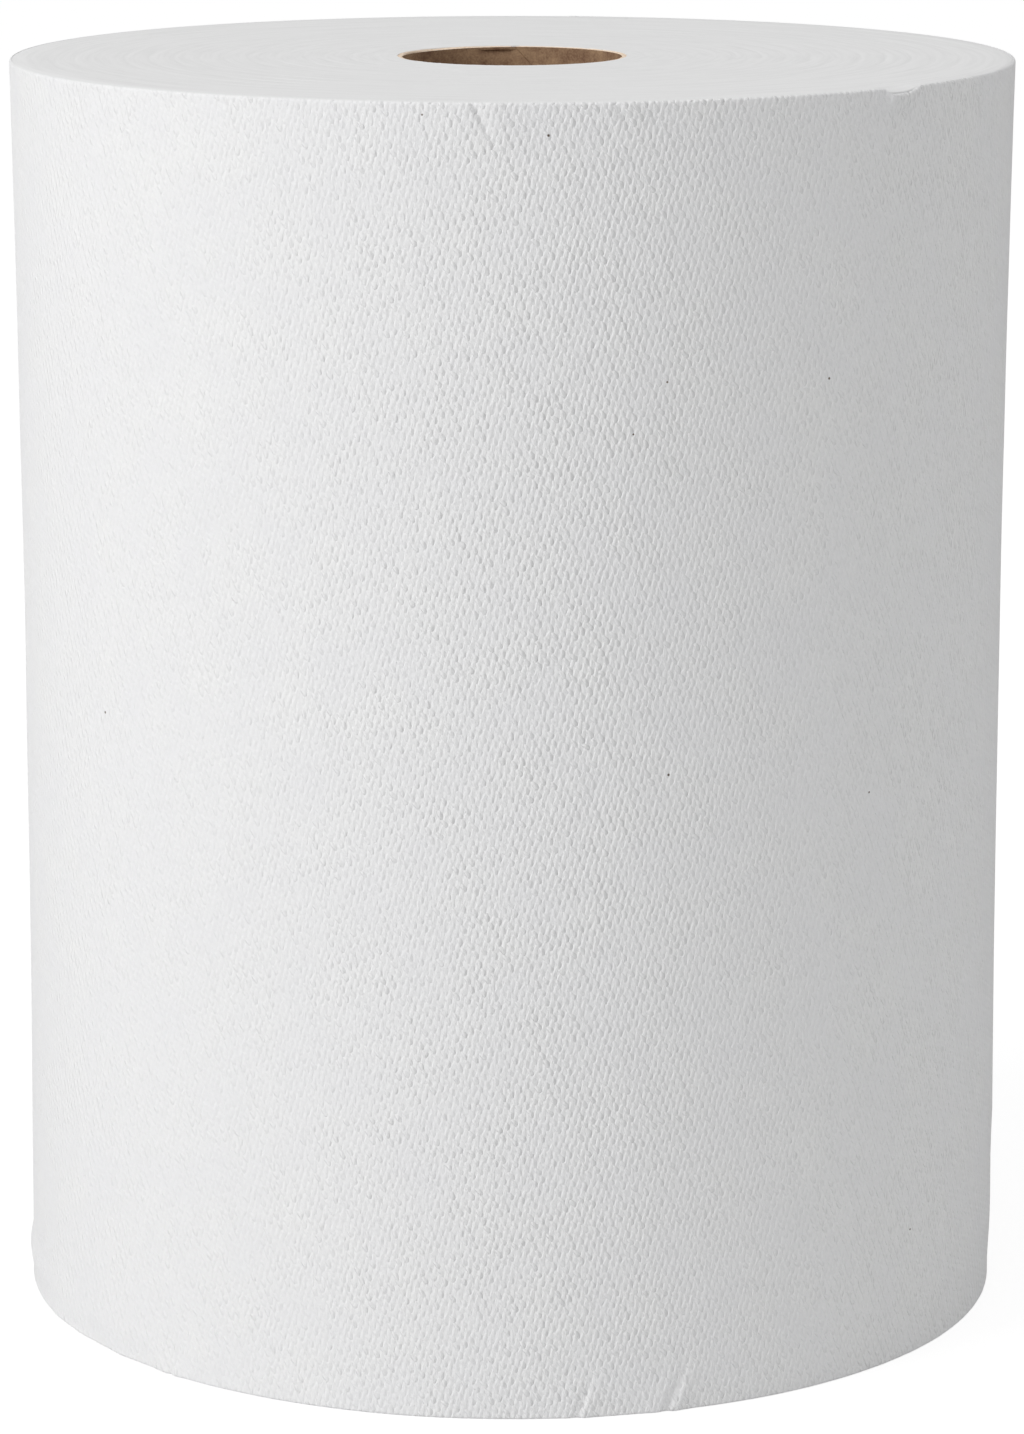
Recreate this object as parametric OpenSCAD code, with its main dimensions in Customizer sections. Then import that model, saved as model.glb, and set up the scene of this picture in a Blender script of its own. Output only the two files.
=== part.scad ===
// Paper towel roll: one long web of textured paper, wound on a spiral-wound board core and saw-cut
// square at both ends. It stands on one cut end. Millimetres, +Z up, origin at the middle of the
// lower end, on the axis of the core.

/* [Roll] */
// Width of the web, which is the height of the standing roll
web_w = 254; // [200:1:300]
// Diameter at the waist, halfway up
roll_d = 200.6; // [150:0.1:260]
// How far the wall stands out at each cut end, where the turns relax, beyond the waist
end_swell = 0.9; // [0:0.1:2]
// Radius of the soft edge round each cut end
edge_r = 0.8; // [0.3:0.1:2]

/* [Sheet] */
// Thickness of the sheet, which is the step in the wall where the tail ends
sheet_t = 0.3; // [0.2:0.05:0.6]
// Length of the tail that has come away from the wall
tail_l = 14; // [5:1:30]
// Gap that opens under the tail where it leaves the wall
tail_gap = 0.05; // [0.02:0.01:0.1]
// Direction in which the tail leaves the wall, turned from +X
tail_angle = 75; // [0:5:180]

/* [End faces] */
// Distance from one turn line to the next, along the radius
turn_pitch = 5; // [3:0.5:8]
// Width of a turn line
turn_line_w = 0.6; // [0.4:0.1:1.6]
// Depth of a turn line
turn_line_depth = 0.2; // [0.1:0.05:1]
// Plain band beside the core, and another inside the edge, with no turn line
plain_band = 3; // [1:0.5:8]

/* [Core] */
// Bore of the core, which goes over a dispenser's spindle
core_bore = 44.45; // [30:0.05:80]
// Wall of the core
core_wall = 1; // [0.5:0.1:4]

/* [Hidden] */
$fn = 128;

core_d = core_bore + 2 * core_wall;
wall_steps = 6;
edge_steps = 3;
// The bore's cutter runs this far past both ends
overrun = 1;

first_turn_r = core_d / 2 + plain_band;
turns = floor((roll_d / 2 - plain_band - first_turn_r) / turn_pitch);
// A block that the turn lines are cut into reaches this far, past the wall
block_r = roll_d / 2 + end_swell + sheet_t + turn_pitch;

// Radius of the wall at a height: least at the waist and out to the full swell at both ends
function wall_r(z) = roll_d / 2 + end_swell * pow(2 * z / web_w - 1, 2);

// The wall in section, from the lower cut end to the upper one, moved out by a distance
function wall_line(out) = concat(
    [for (i = [0:edge_steps - 1]) let (a = 90 * i / edge_steps)
        [wall_r(0) + out - edge_r * (1 - sin(a)), edge_r * (1 - cos(a))]],
    [for (i = [0:wall_steps]) let (z = edge_r + (web_w - 2 * edge_r) * i / wall_steps)
        [wall_r(z) + out, z]],
    [for (i = [edge_steps - 1:-1:0]) let (a = 90 * i / edge_steps)
        [wall_r(web_w) + out - edge_r * (1 - sin(a)), web_w - edge_r * (1 - cos(a))]]
);

function reversed(points) = [for (i = [len(points) - 1:-1:0]) points[i]];

function upside_down(points) = [for (p = reversed(points)) [p.x, web_w - p.y]];

// A row of V notches in the lower end face, one for each turn, moved out by a distance
function turn_notches(out) = [
    for (k = [0:turns - 1])
        let (r = first_turn_r + k * turn_pitch + out)
            each [[r - turn_line_w / 2, 0], [r, turn_line_depth], [r + turn_line_w / 2, 0]]
];

// Half a turn of the web's outside, round a centre line moved by half a step, so that two halves
// with centre lines half a step apart wind outwards by a whole step
module half_wall(step) {
    line = wall_line(step / 2);
    translate([step / 2, 0, 0])
        rotate_extrude(angle = 180)
            polygon(concat([[0, 0]], line, [[0, web_w]]));
}

// Half a turn of a block that carries the turn lines on both end faces
module half_block(step) {
    notches = turn_notches(step / 2);
    translate([step / 2, 0, 0])
        rotate_extrude(angle = 180)
            polygon(concat(
                [[0, 0]], notches, [[block_r, 0], [block_r, web_w]], upside_down(notches), [[0, web_w]]
            ));
}

// The two halves of the winding: the first is round the core's axis, and the second carries the
// wall out by a sheet and each turn line out to the next
module winding() {
    intersection() {
        half_wall(0);
        half_block(0);
    }
    mirror([0, 1, 0])
        intersection() {
            half_wall(sheet_t);
            half_block(turn_pitch);
        }
}

// The end of the web, which runs straight on where the wall turns away from under it
module tail() {
    translate([0, tail_l, 0])
        rotate([90, 0, 0])
            linear_extrude(height = tail_l)
                polygon(concat(wall_line(sheet_t), reversed(wall_line(tail_gap))));
}

// Spiral-wound board tube, cut flush with the web
module core() {
    color("tan")
        difference() {
            cylinder(d = core_d, h = web_w);
            translate([0, 0, -overrun])
                cylinder(d = core_bore, h = web_w + 2 * overrun);
        }
}

// The wound web, one solid, tight on the core
module towel_roll() {
    color("white")
        rotate([0, 0, tail_angle])
            difference() {
                union() {
                    winding();
                    tail();
                }
                translate([0, 0, -overrun])
                    cylinder(d = core_d, h = web_w + 2 * overrun);
            }
}

core();
towel_roll();
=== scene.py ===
"""A wound roll of white paper towel on a board core, standing on one sawn end in a plain pale studio."""

import math

import bpy
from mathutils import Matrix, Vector, noise


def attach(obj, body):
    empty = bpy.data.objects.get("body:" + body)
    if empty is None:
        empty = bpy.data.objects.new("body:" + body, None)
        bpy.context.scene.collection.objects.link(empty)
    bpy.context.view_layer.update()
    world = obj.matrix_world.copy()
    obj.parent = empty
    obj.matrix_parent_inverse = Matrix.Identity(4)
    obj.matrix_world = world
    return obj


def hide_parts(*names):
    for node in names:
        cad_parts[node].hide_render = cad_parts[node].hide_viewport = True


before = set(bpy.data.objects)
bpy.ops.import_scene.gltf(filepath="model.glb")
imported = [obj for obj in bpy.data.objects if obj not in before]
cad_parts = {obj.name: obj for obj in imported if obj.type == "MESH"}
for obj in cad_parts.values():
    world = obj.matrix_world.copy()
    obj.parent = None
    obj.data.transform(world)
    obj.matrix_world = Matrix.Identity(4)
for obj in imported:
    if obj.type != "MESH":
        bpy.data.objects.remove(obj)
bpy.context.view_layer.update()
bpy.ops.object.select_all(action="DESELECT")


# The core: a tube of brown board that the paper is wound on. Its kraft plies are glued on a mandrel
# in a steep helix, so the joint of the inner ply climbs round the bore. It is sawn through with the
# roll, which leaves its ends pale and furred, and at the back the saw has lifted the inner ply.
bore_r = 0.022225
core_r = 0.023225
web_w = 0.254
board_segments = 180
ply_lead = 0.150
ply_joint_w = 0.0005
ply_joint_depth = 0.00016
ply_joint_start = math.radians(82) - math.tau * 0.251 / ply_lead
# Rows of vertices up the bore, close together under the upper rim. Each row turns with the helix of the
# ply, so between rows that lie far apart the faces cut in across the bore.
bore_heights = [0.002, 0.006, 0.014, 0.03, 0.06, 0.1, 0.15, 0.195, 0.222, 0.238, 0.246, 0.25]
bore_heights += [web_w - depth for depth in (0.0026, 0.0016, 0.0011, 0.00085, 0.0007, 0.0005, 0.00018)]
# Marks on the upper rim, each by its middle and its reach to either side. Angles run in degrees from +X
# towards +Y, so the back of the bore is at 90.
inner_ply_r = 0.0226
lifted_middle, lifted_reach = 98, 11
ply_lift = 0.00035
ply_hollow = 0.00020
worn_middle, worn_reach = 148, 55
worn_depth = 0.00022
nick_middle, nick_reach = 88.5, 2.2
nick_depth = 0.0006


def smooth_ramp(value, low, high):
    """0 below low, 1 above high and a soft rise between them."""
    t = min(1.0, max(0.0, (value - low) / (high - low)))
    return t * t * (3.0 - 2.0 * t)


def bump_curve(value, middle, reach):
    """1 at the middle, falling softly to 0 at reach to either side."""
    t = abs(value - middle) / reach
    return 0.0 if t >= 1.0 else (1.0 - t * t) ** 2


bpy.ops.mesh.primitive_circle_add(vertices=board_segments, radius=bore_r, location=(0, 0, 0))
core_tube = bpy.context.object
core_tube.name = "core_tube"
bpy.ops.object.mode_set(mode="EDIT")
bpy.ops.mesh.select_all(action="SELECT")
height = 0.0003
bpy.ops.transform.translate(value=(0, 0, height))
for level in bore_heights:
    bpy.ops.mesh.extrude_region_move(TRANSFORM_OT_translate={"value": (0, 0, level - height)})
    bpy.ops.transform.rotate(
        value=-math.tau * (level - height) / ply_lead, orient_axis="Z", center_override=(0, 0, 0))
    height = level
# The burred inner corner, the rim and the outside, then the lower rim and its corner
rim_steps = [(0.02248, 0.00018), (0.02273, 0.0), (0.02298, 0.0), (core_r, 0.0), (core_r, -web_w),
             (0.02298, 0.0), (0.02248, 0.0), (bore_r, 0.0003)]
rim_r = bore_r
for step_r, rise in rim_steps:
    bpy.ops.mesh.extrude_region_move(TRANSFORM_OT_translate={"value": (0, 0, rise)})
    stretch = step_r / rim_r
    bpy.ops.transform.resize(value=(stretch, stretch, 1), center_override=(0, 0, 0))
    rim_r = step_r
bpy.ops.object.mode_set(mode="OBJECT")

for v in core_tube.data.vertices:
    x, y, z = v.co
    r = math.hypot(x, y)
    turn = math.atan2(y, x)
    # The joint of the inner ply is a narrow groove, with the two columns beside it drawn close
    if r < bore_r + 0.00001:
        climb = turn - ply_joint_start - math.tau * z / ply_lead
        climb = (climb + math.pi) % math.tau - math.pi
        column = round(climb / (math.tau / board_segments))
        if abs(column) == 1:
            turn += math.copysign(ply_joint_w / 2 / bore_r, column) - climb
        r += ply_joint_depth if column == 0 else 0.0
        r += 0.00012 * noise.noise(Vector((x, y, z)) * 90)
    # The lifted ply leans into the bore, with a hollow below it
    if r < inner_ply_r:
        lifted_ply = min(1.0, 1.6 * bump_curve(math.degrees(turn), lifted_middle, lifted_reach))
        r -= ply_lift * lifted_ply * smooth_ramp(z, web_w - 0.00085, web_w - 0.0007)
        r += ply_hollow * lifted_ply * bump_curve(z, web_w - 0.0011, 0.0005)
    # The row under the rim carries the edge of the burr, and the rim is furred and nicked
    if web_w - 0.0004 < z < web_w - 0.0001:
        z -= worn_depth * bump_curve(math.degrees(turn), worn_middle, worn_reach)
    if z > web_w - 0.0001:
        z -= 0.00010 + 0.00010 * noise.noise(Vector((x, y, 0)) * 260)
        z -= nick_depth * bump_curve(math.degrees(turn), nick_middle, nick_reach)
    v.co = (r * math.cos(turn), r * math.sin(turn), z)


def close_and_smooth(merge_distance, sharp_angle):
    """Merge the active piece's doubles, turn its faces outwards and smooth all but its sharp edges."""
    bpy.ops.object.mode_set(mode="EDIT")
    bpy.ops.mesh.select_all(action="SELECT")
    bpy.ops.mesh.remove_doubles(threshold=merge_distance)
    bpy.ops.mesh.normals_make_consistent(inside=False)
    bpy.ops.object.mode_set(mode="OBJECT")
    bpy.ops.object.shade_smooth_by_angle(angle=math.radians(sharp_angle))


close_and_smooth(0.00002, 40)


def from_hex(text):
    """An sRGB hex colour as the linear colour that a shader takes."""
    levels = [int(text[i:i + 2], 16) / 255 for i in (1, 3, 5)]
    return tuple(c / 12.92 if c <= 0.04045 else ((c + 0.055) / 1.055) ** 2.4 for c in levels) + (1.0,)


def add_node(tree, kind, settings, inputs):
    """A new node with its settings, and for each input a value or the node or socket that feeds it."""
    new = tree.nodes.new(kind)
    for name, value in settings.items():
        setattr(new, name, value)
    for name, value in inputs.items():
        if isinstance(value, bpy.types.Node):
            tree.links.new(value.outputs[0], new.inputs[name])
        elif isinstance(value, bpy.types.NodeSocket):
            tree.links.new(value, new.inputs[name])
        else:
            new.inputs[name].default_value = value
    return new


def bare_material(name):
    """A new material with no nodes in it yet."""
    material = bpy.data.materials.new(name)
    material.use_nodes = True
    material.node_tree.nodes.clear()
    return material


# Kraft liner board, uncoated: brown, dull and mottled where the pulp is uneven, with short fibres
kraft_liner = bare_material("kraft_liner_board")
kraft = kraft_liner.node_tree
place = add_node(kraft, "ShaderNodeTexCoord", {}, {}).outputs["Object"]
# Pulp clouds of about 4 mm, and fibres of about 0.4 mm
clouds = add_node(kraft, "ShaderNodeTexNoise", {}, {"Vector": place, "Scale": 260.0, "Detail": 3.0})
fibres = add_node(kraft, "ShaderNodeTexNoise", {}, {"Vector": place, "Scale": 2400.0, "Detail": 2.0})
mottle = add_node(kraft, "ShaderNodeMath", {"operation": "MULTIPLY_ADD"}, {0: fibres, 1: 0.6, 2: -0.3})
shade = add_node(kraft, "ShaderNodeMath", {"operation": "ADD"}, {0: clouds, 1: mottle})
tone = add_node(kraft, "ShaderNodeValToRGB", {}, {"Fac": shade})
tone.color_ramp.elements[0].position = 0.3
tone.color_ramp.elements[0].color = from_hex("#82644E")
tone.color_ramp.elements[1].position = 0.72
tone.color_ramp.elements[1].color = from_hex("#B29374")
rough = add_node(kraft, "ShaderNodeBump", {}, {"Strength": 1.0, "Distance": 0.00006, "Height": shade})
board = add_node(kraft, "ShaderNodeBsdfPrincipled", {}, {
    "Base Color": tone, "Normal": rough, "Roughness": 0.86, "IOR": 1.5, "Specular IOR Level": 0.25})
add_node(kraft, "ShaderNodeOutputMaterial", {}, {"Surface": board})

# The same board where the saw went through: cream, furred, with the plies as fine darker rings
sawn_board = bare_material("sawn_board_edge")
sawn = sawn_board.node_tree
place = add_node(sawn, "ShaderNodeTexCoord", {}, {}).outputs["Object"]
flat = add_node(sawn, "ShaderNodeVectorMath", {"operation": "MULTIPLY"}, {0: place, 1: (1, 1, 0)})
radius = add_node(sawn, "ShaderNodeVectorMath", {"operation": "LENGTH"}, {0: flat}).outputs["Value"]
# One wave for each ply of board, about 0.35 mm thick
ply = add_node(sawn, "ShaderNodeMath", {"operation": "MULTIPLY"}, {0: radius, 1: math.tau / 0.00035})
ply_wave = add_node(sawn, "ShaderNodeMath", {"operation": "SINE"}, {0: ply})
dust = add_node(sawn, "ShaderNodeTexNoise", {}, {"Vector": place, "Scale": 1500.0, "Detail": 3.0})
edge_shade = add_node(sawn, "ShaderNodeMath", {"operation": "MULTIPLY_ADD"}, {0: ply_wave, 1: 0.12, 2: dust})
edge_tone = add_node(sawn, "ShaderNodeValToRGB", {}, {"Fac": edge_shade})
edge_tone.color_ramp.elements[0].position = 0.25
edge_tone.color_ramp.elements[0].color = from_hex("#E4CAAE")
edge_tone.color_ramp.elements[1].position = 0.6
edge_tone.color_ramp.elements[1].color = from_hex("#F8E6D2")
furred = add_node(sawn, "ShaderNodeBump", {}, {"Strength": 1.0, "Distance": 0.0001, "Height": edge_shade})
edge_board = add_node(sawn, "ShaderNodeBsdfPrincipled", {}, {
    "Base Color": edge_tone, "Normal": furred, "Roughness": 0.95, "IOR": 1.5,
    "Specular IOR Level": 0.2})
add_node(sawn, "ShaderNodeOutputMaterial", {}, {"Surface": edge_board})

core_tube.data.materials.append(kraft_liner)
core_tube.data.materials.append(sawn_board)
for face in core_tube.data.polygons:
    face.material_index = 0 if 0.0002 < face.center.z < web_w - 0.0003 else 1

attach(core_tube, "root")
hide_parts("core")


# The wound web: several hundred turns of paper towel, wound tight on the core and sawn square at both
# ends. The edges of the turns make each end face, furred by the saw, with a spiral line where the
# tension changed. Its own wall lies under the last turn and shows only where that lifts.
roll_r = 0.1003
end_swell = 0.0009
edge_r = 0.0005
sheet_t = 0.0003
# The gap between the wall and the last turn
last_turn_gap = 0.00003
# Where the web leaves the wall, in degrees from +X towards +Y, and the same from the front, at -Y
tail_angle = 75
tail_front = tail_angle + 90
# Dents and a bulge near the floor
low_dent = 0.00035
foot_dent = 0.0007
foot_bulge = 0.0006
# Under the ear of the last turn the next turns give way too, and make a shallow scoop
scoop_drop = 0.0008
turn_pitch = 0.005
turn_line_depth = 0.0001
first_turn_r = 0.026225
turns = 14
web_columns = 288


def degrees_from_front(turn):
    """Degrees from the front, positive to the right, for degrees on from where the web leaves the wall."""
    front = (turn + tail_front) % 360
    return front - 360 if front > 180 else front


def wall_radius(turn, z):
    """Outside of the last turn, with turn in degrees on from where the web leaves the wall."""
    r = roll_r + end_swell * (2 * z / web_w - 1) ** 2
    if turn > 180:
        r += sheet_t / 2 * (1 + math.cos(math.radians(turn)))
    # Slack places in the wind, which a palm could feel and the eye just sees
    azimuth = math.radians(turn + tail_angle)
    across = Vector((math.cos(azimuth), math.sin(azimuth), 0)) * 2.6
    slack = noise.noise(across + Vector((0, 0, z / 0.045)))
    fine_slack = noise.noise(across * 2.7 + Vector((7, 0, z / 0.019)))
    r += 0.00013 * slack + 0.00005 * fine_slack - 0.00006
    # The right side is knocked in near the floor, and the left side bulges there
    front = degrees_from_front(turn)
    r -= low_dent * bump_curve(front, 92, 40) * smooth_ramp(-z, -0.0335, -0.029)
    r -= foot_dent * bump_curve(front, 95, 45) * smooth_ramp(-z, -0.018, -0.001) ** 1.5
    r += foot_bulge * bump_curve(front, -88, 26) * bump_curve(z, 0.0064, 0.0042)
    # The cut edge is rubbed round
    end = min(z, web_w - z)
    if end < edge_r:
        r -= edge_r - math.sqrt(max(0.0, edge_r ** 2 - (edge_r - end) ** 2))
    return r


# Rings of vertices across the section: up the bore, out over the top face, down the wall, in under the
# bottom face. Each turn line is a notch of three rings, and its rings move out by one pitch in a turn.
face_rings = [("bore", 0.0), ("bore", 0.5)]
for k in range(turns + 1):
    for part, depth in ((0.0, 0.0), (0.06, 1.0), (0.12, 0.0), (0.41, 0.0), (0.7, 0.0)):
        face_rings.append((k + part, depth))
face_rings.append(("wall", 0.0))
wall_rows = [0.00012, 0.0003, 0.00055, 0.0008, 0.0013, 0.002, 0.003, 0.0045, 0.0065, 0.009, 0.013, 0.018,
             0.024, 0.031, 0.045, 0.06, 0.08, 0.1, 0.127]
wall_rows = wall_rows + [web_w - z for z in reversed(wall_rows[:-1])]
section = [("face", ring, web_w) for ring in face_rings]
section += [("wall", None, z) for z in reversed(wall_rows)]
section += [("face", ring, 0.0) for ring in reversed(face_rings)]
section += [("bore", None, z) for z in (0.03, 0.127, 0.224)]

bpy.ops.mesh.primitive_grid_add(
    x_subdivisions=web_columns, y_subdivisions=len(section), size=2, location=(0, 0, 0))
wound_web = bpy.context.object
wound_web.name = "wound_web"
for v in wound_web.data.vertices:
    share = (v.co.x + 1) / 2
    step = round((v.co.y + 1) / 2 * len(section))
    where, ring, z = section[step % len(section)]
    turn = 360 * share
    angle = math.radians(tail_angle) + math.tau * share
    # Under the tail the wall steps back by a sheet, over one column
    step_back = 0.0 if share < 1 - 0.5 / web_columns else 360.0
    under = wall_radius(turn - step_back, z) - sheet_t - last_turn_gap
    front = degrees_from_front(turn)
    scoop = smooth_ramp(front, 43.4, 45.4) * smooth_ramp(-front, -51.0, -47.4)
    scoop *= smooth_ramp(z, web_w - 0.004, web_w)
    if where == "wall" or ring is not None and ring[0] == "wall":
        r = under
        z -= scoop_drop * scoop
    elif where == "bore":
        r = core_r
    elif ring[0] == "bore":
        r = core_r + (first_turn_r - core_r) * ring[1]
        if ring[1] == 0.0:
            # Torn fibre stands over the rim of the core, with a few longer tufts
            fray = noise.noise(Vector((math.cos(angle), math.sin(angle), z)) * 23)
            tuft = noise.noise(Vector((math.cos(angle), math.sin(angle), z)) * 41)
            r -= 0.00003 + 0.0003 * max(0.0, fray) + 0.0018 * max(0.0, tuft - 0.45)
    else:
        r = first_turn_r + turn_pitch * (ring[0] - 1 + share)
        # The line fades out at both ends of its spiral
        outermost = roll_r - edge_r - sheet_t - 0.0018
        inside, outside = r - first_turn_r, outermost - r
        r = min(outermost, max(first_turn_r, r))
        cut = ring[1] * smooth_ramp(min(inside, outside), 0.0, 0.002)
        cut *= 0.35 + 0.65 * noise.noise(Vector((math.cos(angle), math.sin(angle), 0)) * r * 45)
        z += turn_line_depth * cut * (1 if z < web_w / 2 else -1)
    # The saw leaves the faces slightly uneven
    if where == "face" and ring[0] != "wall" and r > core_r + 0.0001:
        ripple = noise.noise(Vector((math.cos(angle) * 3, math.sin(angle) * 3, r * 380)))
        z += (0.00003 * ripple + 0.00004) * (1 if z < web_w / 2 else -1)
    v.co = (r * math.cos(angle), r * math.sin(angle), z)

close_and_smooth(0.000004, 35)

# Sawn edges of white tissue: matt and furred, with the turns as fine rings that come and go
cut_tissue = bare_material("sawn_tissue_edges")
ends = cut_tissue.node_tree
place = add_node(ends, "ShaderNodeTexCoord", {}, {}).outputs["Object"]
flat = add_node(ends, "ShaderNodeVectorMath", {"operation": "MULTIPLY"}, {0: place, 1: (1, 1, 0)})
radius = add_node(ends, "ShaderNodeVectorMath", {"operation": "LENGTH"}, {0: flat}).outputs["Value"]
way_round = add_node(ends, "ShaderNodeVectorMath", {"operation": "NORMALIZE"}, {0: flat})
# Turns are about 0.12 mm thick, too fine to show, and are drawn about 1.1 mm apart, as bundles of turns
spread = add_node(ends, "ShaderNodeVectorMath", {"operation": "SCALE"}, {0: way_round, "Scale": 4.0})
rise = add_node(ends, "ShaderNodeMath", {"operation": "MULTIPLY"}, {0: radius, 1: 1 / 0.0011})
lifted = add_node(ends, "ShaderNodeCombineXYZ", {}, {"Z": rise})
ring_place = add_node(ends, "ShaderNodeVectorMath", {"operation": "ADD"}, {0: spread, 1: lifted})
rings = add_node(ends, "ShaderNodeTexNoise", {}, {"Vector": ring_place, "Scale": 1.0, "Detail": 2.5})
fur = add_node(ends, "ShaderNodeTexNoise", {}, {"Vector": place, "Scale": 1900.0, "Detail": 2.0})
relief = add_node(ends, "ShaderNodeMath", {"operation": "MULTIPLY_ADD"}, {0: fur, 1: 0.35, 2: rings})
end_bump = add_node(ends, "ShaderNodeBump", {}, {"Strength": 1.0, "Distance": 0.00006, "Height": relief})
end_tone = add_node(ends, "ShaderNodeValToRGB", {}, {"Fac": rings})
end_tone.color_ramp.elements[0].position = 0.3
end_tone.color_ramp.elements[0].color = from_hex("#E9E9E9")
end_tone.color_ramp.elements[1].position = 0.6
end_tone.color_ramp.elements[1].color = from_hex("#EEEEEE")
tissue_end = add_node(ends, "ShaderNodeBsdfPrincipled", {}, {
    "Base Color": end_tone, "Normal": end_bump, "Roughness": 1.0, "IOR": 1.45,
    "Specular IOR Level": 0.15})
add_node(ends, "ShaderNodeOutputMaterial", {}, {"Surface": tissue_end})
wound_web.data.materials.append(cut_tissue)

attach(wound_web, "root")
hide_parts("towel_roll")


# The last turn: the outermost length of the web, one strip of air-dried towel paper held only by its
# own wind. Its tail stands a little off the wall at the back. Handling has pinched its cut edges into
# short creases, and turned out a small ear at the top on the right.
tail_l = 0.014
# The end of the tail bends this far back towards the wall, give or take its flutter
tail_bend = 0.00028
tail_flutter = 0.00012
# The ear stands out from the wall and hangs over by this much
ear_out = 0.0009
ear_drop = 0.0011
# Each from the rim inwards: degrees from the front, positive to the right, and metres above the floor
# at both ends, then how deep it is and how wide its left and its right side are. The paper stands up
# beside a crease by half its depth or more, so that the fold stays outside the turn below.
creases = [
    (-4.4, 0.2540, -1.6, 0.2445, 0.00060, 0.0005, 0.0040),
    (10.7, 0.2540, 12.3, 0.2480, 0.00040, 0.0010, 0.0024),
    (7.1, 0.0000, 9.2, 0.0100, 0.00050, 0.0022, 0.0013),
    (17.3, 0.0000, 20.2, 0.0112, 0.00060, 0.0024, 0.0013),
    (-42.0, 0.0000, -44.3, 0.0060, 0.00045, 0.0012, 0.0016),
]
# The lower rim on the left has been stood on, and is flat from kink to kink
flats = [(-65.0, -60.2), (-60.2, -51.5), (-51.5, -43.5)]
# Where a crease, a flat or the ear lies, the columns of the mesh are close: from, to and step, in degrees
close_places = [(-67, -39, 0.6), (-47, -39, 0.26), (-7, 2, 0.26), (-5.2, -0.8, 0.13), (5, 14, 0.26),
                (15, 22, 0.26), (42, 52, 0.26)]
strip_columns = []
turn = 0.0
while turn < 360:
    strip_columns.append(turn)
    front = degrees_from_front(turn)
    turn += min((step for low, high, step in close_places if low <= front <= high), default=1.2)
strip_columns.append(360.0)
tail_steps = 14
across_steps = len(strip_columns) + tail_steps - 1
# Rows are close near both edges, where the sheet curls round the cut and the creases run out
near_end = [0.00015, 0.00019, 0.00028, 0.00039, 0.0005, 0.0008]
near_end += [0.0013 + 0.00065 * i for i in range(20)]
low_rows = near_end + [0.017, 0.021, 0.026, 0.031, 0.036]
middle_rows = [0.043 + 0.0084 * i for i in range(21)]
high_rows = [web_w - z for z in reversed(near_end + [0.0165, 0.0195, 0.023, 0.0275, 0.033])]
strip_rows = low_rows + middle_rows + high_rows
up_steps = len(strip_rows) - 1

bpy.ops.mesh.primitive_grid_add(
    x_subdivisions=across_steps, y_subdivisions=up_steps, size=2, location=(0, 0, 0))
last_turn = bpy.context.object
last_turn.name = "last_turn"
for v in last_turn.data.vertices:
    column = round((v.co.x + 1) / 2 * across_steps)
    z = strip_rows[round((v.co.y + 1) / 2 * up_steps)]
    on_tail = column >= len(strip_columns)
    turn = 360.0 if on_tail else strip_columns[column]
    front = degrees_from_front(turn)
    # The middle of the sheet goes round the cut edge half a sheet inside it
    end = min(z, web_w - z)
    curl_r = edge_r - sheet_t / 2
    curled = curl_r - math.sqrt(max(0.0, curl_r ** 2 - max(0.0, edge_r - end) ** 2))
    r = wall_radius(turn, min(web_w - edge_r, max(edge_r, z))) - sheet_t / 2 - curled
    # The edge of the sheet wanders a little where it was cut and handled
    wander = noise.noise(Vector((front * 0.35, z * 9, 3.0))) * (1 - smooth_ramp(end, 0.0, 0.007))
    r += 0.00012 * max(0.0, wander)
    for rim_front, rim_z, tip_front, tip_z, depth, left_w, right_w in creases:
        inward = (z - rim_z) / (tip_z - rim_z)
        if inward < 1.0:
            crease_front = rim_front + (tip_front - rim_front) * inward
            aside = math.radians(front - crease_front) * roll_r
            across = aside / right_w if aside > 0.0 else -aside / left_w
            stands = 0.5 * bump_curve(aside, 0.0, 1.8 * (left_w + right_w))
            stands += 0.35 * bump_curve(aside, 1.1 * right_w, 1.6 * right_w)
            fold = stands - 1.0 + smooth_ramp(across, -0.25, 1.0)
            r += depth * smooth_ramp(1.0 - inward, 0.0, 0.8) * fold
    for low, high in flats:
        if low < front < high:
            half_angle = math.radians(high - low) / 2
            from_middle = math.radians(front - (low + high) / 2)
            chord = math.cos(half_angle) / math.cos(from_middle)
            r -= 1.4 * r * (1.0 - chord) * smooth_ramp(-z, -0.006, -0.001)
    ear = smooth_ramp(front, 43.8, 45.2) * smooth_ramp(-front, -51.0, -47.0)
    ear *= smooth_ramp(z, web_w - 0.0045, web_w - 0.0005)
    r += ear_out * ear
    z -= ear_drop * ear
    angle = math.radians(turn + tail_angle)
    place = Vector((r * math.cos(angle), r * math.sin(angle), z))
    if on_tail:
        reach = (column - len(strip_columns) + 1) / tail_steps
        place += Vector((-math.sin(angle), math.cos(angle), 0)) * tail_l * reach
        flutter = noise.noise(Vector((reach * 1.5, z / 0.03, 9.0)))
        outward = Vector((math.cos(angle), math.sin(angle), 0))
        place += outward * (tail_flutter * flutter - tail_bend) * reach
    v.co = place

thickness = last_turn.modifiers.new("sheet_thickness", "SOLIDIFY")
thickness.thickness = sheet_t
thickness.offset = 0
bpy.ops.object.modifier_apply(modifier="sheet_thickness")
bpy.ops.object.shade_smooth_by_angle(angle=math.radians(50))

# Crepe towel paper, through-air dried on a satin-woven fabric: white, matt and fuzzy, covered with
# small knuckles where the weave let the wet web sink, with a few brown flecks in the pulp
towel_paper = bare_material("crepe_towel_paper")
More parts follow.
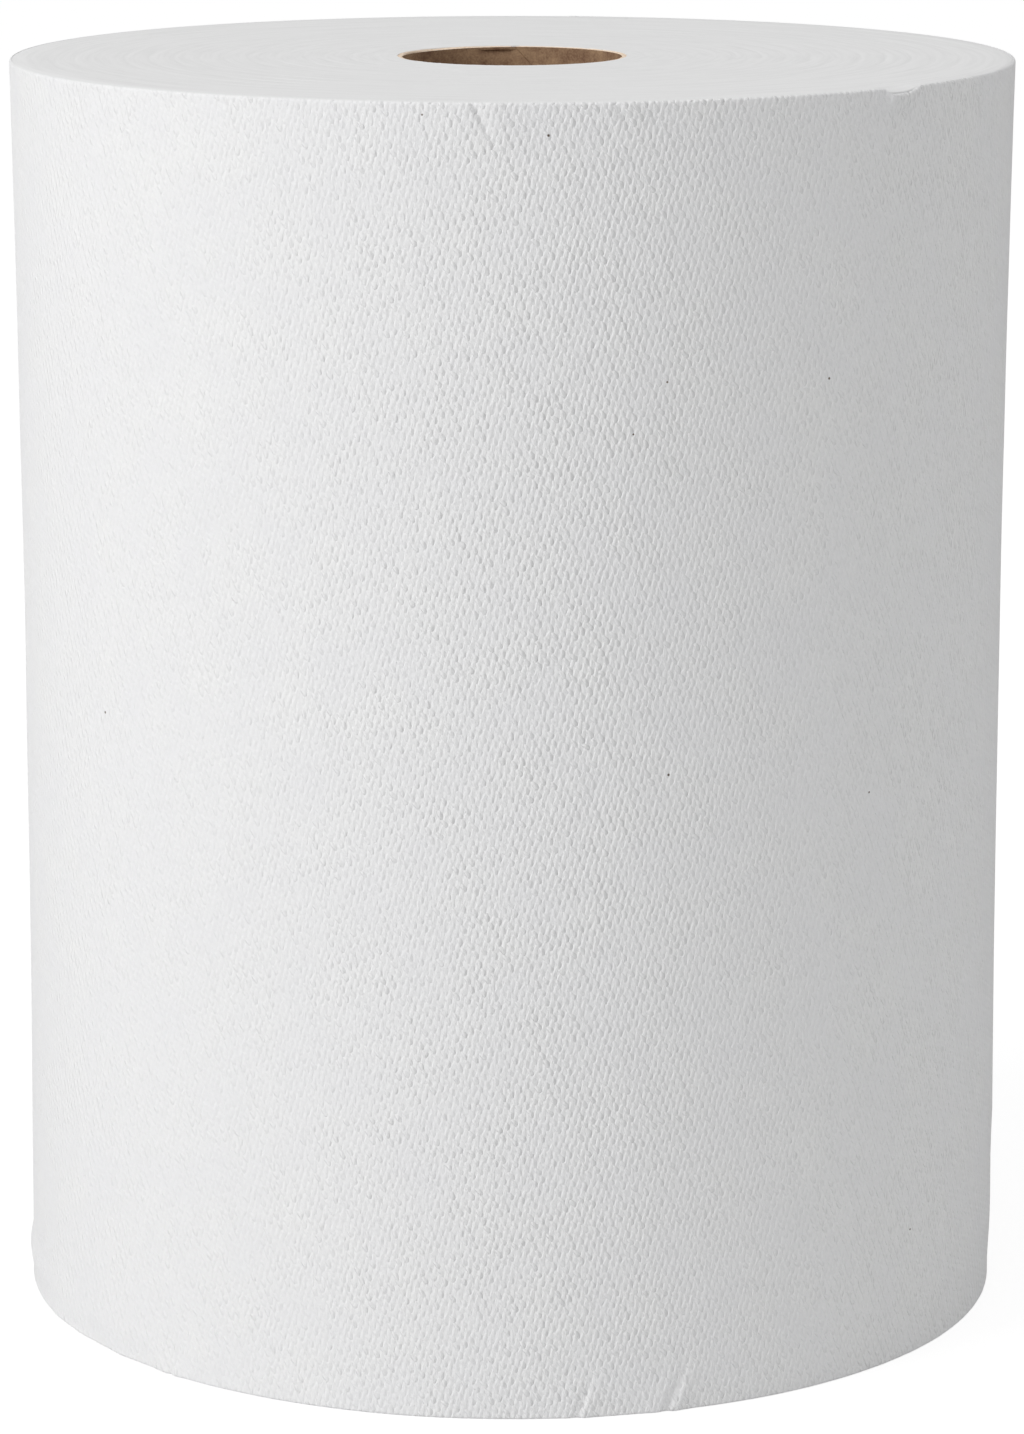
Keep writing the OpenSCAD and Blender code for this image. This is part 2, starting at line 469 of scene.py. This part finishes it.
# The knuckles are real relief, so their lit sides keep their full light near the edge of the shade
towel_paper.cycles.use_bump_map_correction = False
paper = towel_paper.node_tree
place = add_node(paper, "ShaderNodeTexCoord", {}, {}).outputs["Object"]
# Turned so that the seam of the angle lies under the tail, and taken in millimetres along and up the sheet
seamed = add_node(paper, "ShaderNodeMapping", {"vector_type": "POINT"}, {
    "Vector": place, "Rotation": (0, 0, math.radians(180 - tail_angle))})
axes = add_node(paper, "ShaderNodeSeparateXYZ", {}, {"Vector": seamed})
bearing = add_node(paper, "ShaderNodeMath", {"operation": "ARCTAN2"}, {
    0: axes.outputs["Y"], 1: axes.outputs["X"]})
along_sheet = add_node(paper, "ShaderNodeMath", {"operation": "MULTIPLY"}, {
    0: bearing, 1: roll_r * 1000})
up_sheet = add_node(paper, "ShaderNodeMath", {"operation": "MULTIPLY"}, {
    0: axes.outputs["Z"], 1: 1000.0})
# The crepe pulls the knuckles out of line by up to about 0.2 mm
pull = add_node(paper, "ShaderNodeTexNoise", {}, {"Vector": place, "Scale": 380.0, "Detail": 1.0})
pull_apart = add_node(paper, "ShaderNodeSeparateColor", {}, {"Color": pull.outputs["Color"]})
pulled_s = add_node(paper, "ShaderNodeMath", {"operation": "MULTIPLY_ADD"}, {
    0: pull_apart.outputs[0], 1: 0.6, 2: along_sheet})
pulled_z = add_node(paper, "ShaderNodeMath", {"operation": "MULTIPLY_ADD"}, {
    0: pull_apart.outputs[1], 1: 0.9, 2: up_sheet})
# The satin weave sets the knuckles in two families of chains that cross. Each family has its lean from
# upright in degrees, the distance between chains, the distance between knuckles in a chain, where the
# first chain starts and how much later each next one does, as shares of that distance, then the half
# width and half length of a knuckle and how strongly it shows. Lengths are in millimetres.
knuckle_chains = [
    (-24.44, 1.7002, 1.8057, 0.0, -0.0721, 0.36, 1.15, 1.0),
    (16.85, 1.1915, 2.5767, 0.5, 0.5267, 0.42, 1.60, 0.5),
]
knuckles = 0.0
for lean, chain_gap, knuckle_gap, first_start, chain_start, half_w, half_l, show in knuckle_chains:
    sine, cosine = math.sin(math.radians(lean)), math.cos(math.radians(lean))
    across_z = add_node(paper, "ShaderNodeMath", {"operation": "MULTIPLY"}, {
        0: pulled_z, 1: -sine / chain_gap})
    across = add_node(paper, "ShaderNodeMath", {"operation": "MULTIPLY_ADD"}, {
        0: pulled_s, 1: cosine / chain_gap, 2: across_z})
    chain_number = add_node(paper, "ShaderNodeMath", {"operation": "ROUND"}, {0: across})
    off_chain = add_node(paper, "ShaderNodeMath", {"operation": "SUBTRACT"}, {
        0: across, 1: chain_number})
    along_z = add_node(paper, "ShaderNodeMath", {"operation": "MULTIPLY_ADD"}, {
        0: pulled_z, 1: cosine / knuckle_gap, 2: first_start})
    along = add_node(paper, "ShaderNodeMath", {"operation": "MULTIPLY_ADD"}, {
        0: pulled_s, 1: sine / knuckle_gap, 2: along_z})
    stepped = add_node(paper, "ShaderNodeMath", {"operation": "MULTIPLY_ADD"}, {
        0: chain_number, 1: chain_start, 2: along})
    knuckle_number = add_node(paper, "ShaderNodeMath", {"operation": "ROUND"}, {0: stepped})
    off_knuckle = add_node(paper, "ShaderNodeMath", {"operation": "SUBTRACT"}, {
        0: stepped, 1: knuckle_number})
    # Each is a little off its place and its lean, and some are full and some half as deep
    cell = add_node(paper, "ShaderNodeCombineXYZ", {}, {
        "X": chain_number, "Y": knuckle_number, "Z": lean})
    chance = add_node(paper, "ShaderNodeTexWhiteNoise", {"noise_dimensions": "3D"}, {"Vector": cell})
    chances = add_node(paper, "ShaderNodeSeparateColor", {}, {"Color": chance.outputs["Color"]})
    drift = add_node(paper, "ShaderNodeMath", {"operation": "MULTIPLY_ADD"}, {
        0: chances.outputs[0], 1: 0.2, 2: -0.1})
    from_middle = add_node(paper, "ShaderNodeMath", {"operation": "ADD"}, {0: off_knuckle, 1: drift})
    turned = add_node(paper, "ShaderNodeMath", {"operation": "MULTIPLY_ADD"}, {
        0: chances.outputs[2], 1: 0.36, 2: -0.18})
    leaning = add_node(paper, "ShaderNodeMath", {"operation": "MULTIPLY_ADD"}, {
        0: from_middle, 1: turned, 2: off_chain})
    # The left flank of a knuckle is steep and the right one eases away
    breadth = add_node(paper, "ShaderNodeMath", {"operation": "ABSOLUTE"}, {0: leaning})
    flanked = add_node(paper, "ShaderNodeMath", {"operation": "MULTIPLY_ADD"}, {
        0: breadth, 1: -0.55, 2: leaning})
    spot = add_node(paper, "ShaderNodeCombineXYZ", {}, {"X": flanked, "Y": from_middle})
    shaped = add_node(paper, "ShaderNodeVectorMath", {"operation": "MULTIPLY"}, {
        0: spot, 1: (chain_gap / half_w, knuckle_gap / half_l, 0)})
    fall = add_node(paper, "ShaderNodeVectorMath", {"operation": "DOT_PRODUCT"}, {
        0: shaped, 1: shaped}).outputs["Value"]
    grain = add_node(paper, "ShaderNodeMath", {"operation": "SUBTRACT", "use_clamp": True}, {
        0: 1.0, 1: fall})
    fullness = add_node(paper, "ShaderNodeMapRange", {}, {
        "Value": chances.outputs[1], "To Min": 0.45 * show, "To Max": show})
    knuckle = add_node(paper, "ShaderNodeMath", {"operation": "MULTIPLY"}, {0: grain, 1: fullness})
    knuckles = add_node(paper, "ShaderNodeMath", {"operation": "MAXIMUM"}, {0: knuckle, 1: knuckles})
# In patches the knuckles are washed out
patches = add_node(paper, "ShaderNodeTexNoise", {}, {"Vector": place, "Scale": 90.0, "Detail": 2.0})
washed = add_node(paper, "ShaderNodeMapRange", {}, {
    "Value": patches, "From Min": 0.35, "From Max": 0.6, "To Min": 0.65, "To Max": 1.0})
even = add_node(paper, "ShaderNodeMath", {"operation": "MULTIPLY"}, {0: knuckles, 1: washed})
# A wide band on the left, where rolls lay side by side in the case, is pressed flatter than the rest
to_band = add_node(paper, "ShaderNodeVectorMath", {"operation": "DOT_PRODUCT"}, {
    0: place, 1: (-0.866 / roll_r, -0.5 / roll_r, 0)}).outputs["Value"]
flattened = add_node(paper, "ShaderNodeMapRange", {}, {
    "Value": to_band, "From Min": 0.35, "From Max": 0.9, "To Min": 1.0, "To Max": 0.5})
pressed = add_node(paper, "ShaderNodeMath", {"operation": "MULTIPLY"}, {0: even, 1: flattened})
# Between the knuckles the crepe is fine, with grains of about 0.6 mm that are twice as tall as wide
on_sheet = add_node(paper, "ShaderNodeCombineXYZ", {}, {"X": along_sheet, "Y": up_sheet})
crepe_place = add_node(paper, "ShaderNodeVectorMath", {"operation": "MULTIPLY"}, {
    0: on_sheet, 1: (1.0, 0.5, 0)})
crepe = add_node(paper, "ShaderNodeTexNoise", {"noise_dimensions": "2D"}, {
    "Vector": crepe_place, "Scale": 1.7, "Detail": 1.5})
surface = add_node(paper, "ShaderNodeMath", {"operation": "MULTIPLY_ADD"}, {
    0: crepe, 1: 0.32, 2: pressed})
# A faint fold bends round the right side at half height, where the turn once lay over an edge. In
# millimetres, it is highest at the front and sinks with the square of the way round.
fold_top = 132.2
fold_bend = 0.00108
from_front = add_node(paper, "ShaderNodeMath", {"operation": "SUBTRACT"}, {
    0: along_sheet, 1: roll_r * 1000 * math.radians(90 - tail_angle)})
bent_place = add_node(paper, "ShaderNodeMath", {"operation": "MULTIPLY"}, {0: from_front, 1: from_front})
fold_height = add_node(paper, "ShaderNodeMath", {"operation": "MULTIPLY_ADD"}, {
    0: bent_place, 1: fold_bend, 2: -fold_top})
off_fold = add_node(paper, "ShaderNodeMath", {"operation": "ADD"}, {0: up_sheet, 1: fold_height})
fold_ridge = add_node(paper, "ShaderNodeMapRange", {}, {
    "Value": off_fold, "From Min": -0.5, "From Max": 0.5, "To Min": 0.5, "To Max": 0.0})
fold_reach = add_node(paper, "ShaderNodeMapRange", {}, {
    "Value": from_front, "From Min": 15.0, "From Max": 45.0, "To Min": 0.0, "To Max": 1.0})
folded = add_node(paper, "ShaderNodeMath", {"operation": "MULTIPLY_ADD"}, {
    0: fold_ridge, 1: fold_reach, 2: surface})
imprint = add_node(paper, "ShaderNodeBump", {}, {
    "Strength": 1.0, "Distance": 0.00050, "Height": folded})
# Flecks of brown fibre, each by its degrees from the front, height and size in metres
flecks = [
    (3.8, 0.2480, 0.00030), (-9.4, 0.2517, 0.00022), (16.7, 0.2017, 0.00025), (13.0, 0.1921, 0.00022),
    (36.6, 0.2001, 0.00030), (17.2, 0.1266, 0.00030), (43.7, 0.1179, 0.00025), (-52.5, 0.1313, 0.00030),
    (52.0, 0.0260, 0.00025), (133.0, 0.1810, 0.00030), (-120.0, 0.0660, 0.00028), (168.0, 0.0900, 0.00030),
    (-150.0, 0.2100, 0.00025),
]
fleck_mask = 0.0
for front, z, size in flecks:
    angle = math.radians(front - 90)
    spot_r = wall_radius((front - tail_front) % 360, z)
    spot = (spot_r * math.cos(angle), spot_r * math.sin(angle), z)
    away = add_node(paper, "ShaderNodeVectorMath", {"operation": "DISTANCE"}, {0: place, 1: spot})
    near = add_node(paper, "ShaderNodeMapRange", {}, {
        "Value": away.outputs["Value"], "From Min": size * 0.6, "From Max": size,
        "To Min": 1.0, "To Max": 0.0})
    fleck_mask = add_node(paper, "ShaderNodeMath", {"operation": "MAXIMUM"}, {0: near, 1: fleck_mask})
formation = add_node(paper, "ShaderNodeValToRGB", {}, {"Fac": patches})
formation.color_ramp.elements[0].position = 0.3
formation.color_ramp.elements[0].color = from_hex("#EDEDEE")
formation.color_ramp.elements[1].position = 0.7
formation.color_ramp.elements[1].color = from_hex("#F0F0F0")
flecked = add_node(paper, "ShaderNodeMix", {"data_type": "RGBA"}, {"Factor": fleck_mask})
paper.links.new(formation.outputs[0], flecked.inputs[6])
flecked.inputs[7].default_value = from_hex("#70645A")
towel = add_node(paper, "ShaderNodeBsdfPrincipled", {}, {
    "Base Color": flecked.outputs[2], "Normal": imprint, "Roughness": 1.0, "IOR": 1.45,
    "Specular IOR Level": 0.15})
add_node(paper, "ShaderNodeOutputMaterial", {}, {"Surface": towel})
last_turn.data.materials.append(towel_paper)

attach(last_turn, "root")


# The studio: a wide white sweep under the roll, a large softbox on the left and an even pale surround.
# None of it is part of the object.
bpy.ops.mesh.primitive_grid_add(x_subdivisions=24, y_subdivisions=24, size=12, location=(0, 0, 0))
floor = bpy.context.object
floor.name = "studio_floor"
white_sweep = bare_material("white_studio_paper")
sweep = white_sweep.node_tree
# The camera and reflections see a floor as pale as the surround, which keeps the roll's shadow
rays = add_node(sweep, "ShaderNodeLightPath", {}, {})
seen = add_node(sweep, "ShaderNodeMath", {"operation": "MAXIMUM"}, {
    0: rays.outputs["Is Camera Ray"], 1: rays.outputs["Is Glossy Ray"]})
seen_through = add_node(sweep, "ShaderNodeMath", {"operation": "MAXIMUM"}, {
    0: seen, 1: rays.outputs["Is Transmission Ray"]})
plain_floor = add_node(sweep, "ShaderNodeBsdfDiffuse", {}, {"Color": from_hex("#E6E6E6")})
thin_floor = add_node(sweep, "ShaderNodeBsdfDiffuse", {}, {"Color": from_hex("#8C8C8C")})
glow = add_node(sweep, "ShaderNodeEmission", {}, {"Color": (1, 1, 1, 1), "Strength": 0.82})
shown_floor = add_node(sweep, "ShaderNodeAddShader", {}, {0: thin_floor, 1: glow})
floor_mix = add_node(sweep, "ShaderNodeMixShader", {}, {
    0: seen_through, 1: plain_floor, 2: shown_floor})
add_node(sweep, "ShaderNodeOutputMaterial", {}, {"Surface": floor_mix})
floor.data.materials.append(white_sweep)

surround = bpy.data.worlds.new("pale_surround")
bpy.context.scene.world = surround
surround.use_nodes = True
air = surround.node_tree
air.nodes.clear()
rays = add_node(air, "ShaderNodeLightPath", {}, {})
seen = add_node(air, "ShaderNodeMath", {"operation": "MAXIMUM"}, {
    0: rays.outputs["Is Camera Ray"], 1: rays.outputs["Is Glossy Ray"]})
seen_through = add_node(air, "ShaderNodeMath", {"operation": "MAXIMUM"}, {
    0: seen, 1: rays.outputs["Is Transmission Ray"]})
# The room is brightest overhead and in front, behind the camera, with a panel behind on the right
toward = add_node(air, "ShaderNodeTexCoord", {}, {}).outputs["Generated"]
room = 0.0
for direction, brightness, narrowness in (
        ((0, 0, 1), 1.03, 4.0), ((0, -1, 0), 0.45, 4.0), ((0.87, 0.5, 0), 0.56, 8.0)):
    facing = add_node(air, "ShaderNodeVectorMath", {"operation": "DOT_PRODUCT"}, {
        0: toward, 1: direction}).outputs["Value"]
    half = add_node(air, "ShaderNodeMath", {"operation": "MULTIPLY_ADD"}, {0: facing, 1: 0.5, 2: 0.5})
    lobe = add_node(air, "ShaderNodeMath", {"operation": "POWER"}, {0: half, 1: narrowness})
    room = add_node(air, "ShaderNodeMath", {"operation": "MULTIPLY_ADD"}, {0: lobe, 1: brightness, 2: room})
level = add_node(air, "ShaderNodeMath", {"operation": "MAXIMUM"}, {0: room, 1: seen_through})
sky = add_node(air, "ShaderNodeBackground", {}, {"Color": (1, 1, 1, 1), "Strength": level})
add_node(air, "ShaderNodeOutputWorld", {}, {"Surface": sky})

# The softbox stands to the left of the camera and above it, and faces the middle of the roll
key_azimuth = math.radians(-90 - 60)
key_elevation = math.radians(26)
key_distance = 2.6
roll_middle_z = web_w / 2
bpy.ops.object.light_add(type="AREA", location=(0, 0, 0))
softbox = bpy.context.object
softbox.name = "softbox_left"
softbox.data.shape = "SQUARE"
softbox.data.size = 1.5
softbox.data.energy = 31.6
softbox.location = (
    key_distance * math.cos(key_elevation) * math.cos(key_azimuth),
    key_distance * math.cos(key_elevation) * math.sin(key_azimuth),
    key_distance * math.sin(key_elevation) + roll_middle_z)
to_roll = Vector((0, 0, roll_middle_z)) - softbox.location
softbox.rotation_euler = to_roll.to_track_quat("-Z", "Y").to_euler()

# The camera's place, tilt and lens follow from the two ellipses and the height of the roll in the photo
camera_distance = 1.0597
camera_height = 0.3450
camera_tilt = 77.87
bpy.ops.object.camera_add(
    location=(0.0, -camera_distance, camera_height), rotation=(math.radians(camera_tilt), 0, 0))
camera = bpy.context.object
camera.name = "studio_camera"
camera.data.lens = 131.1
camera.data.sensor_width = 36.0
camera.data.clip_end = 30.0
bpy.context.scene.camera = camera
bpy.context.scene.view_settings.view_transform = "Standard"
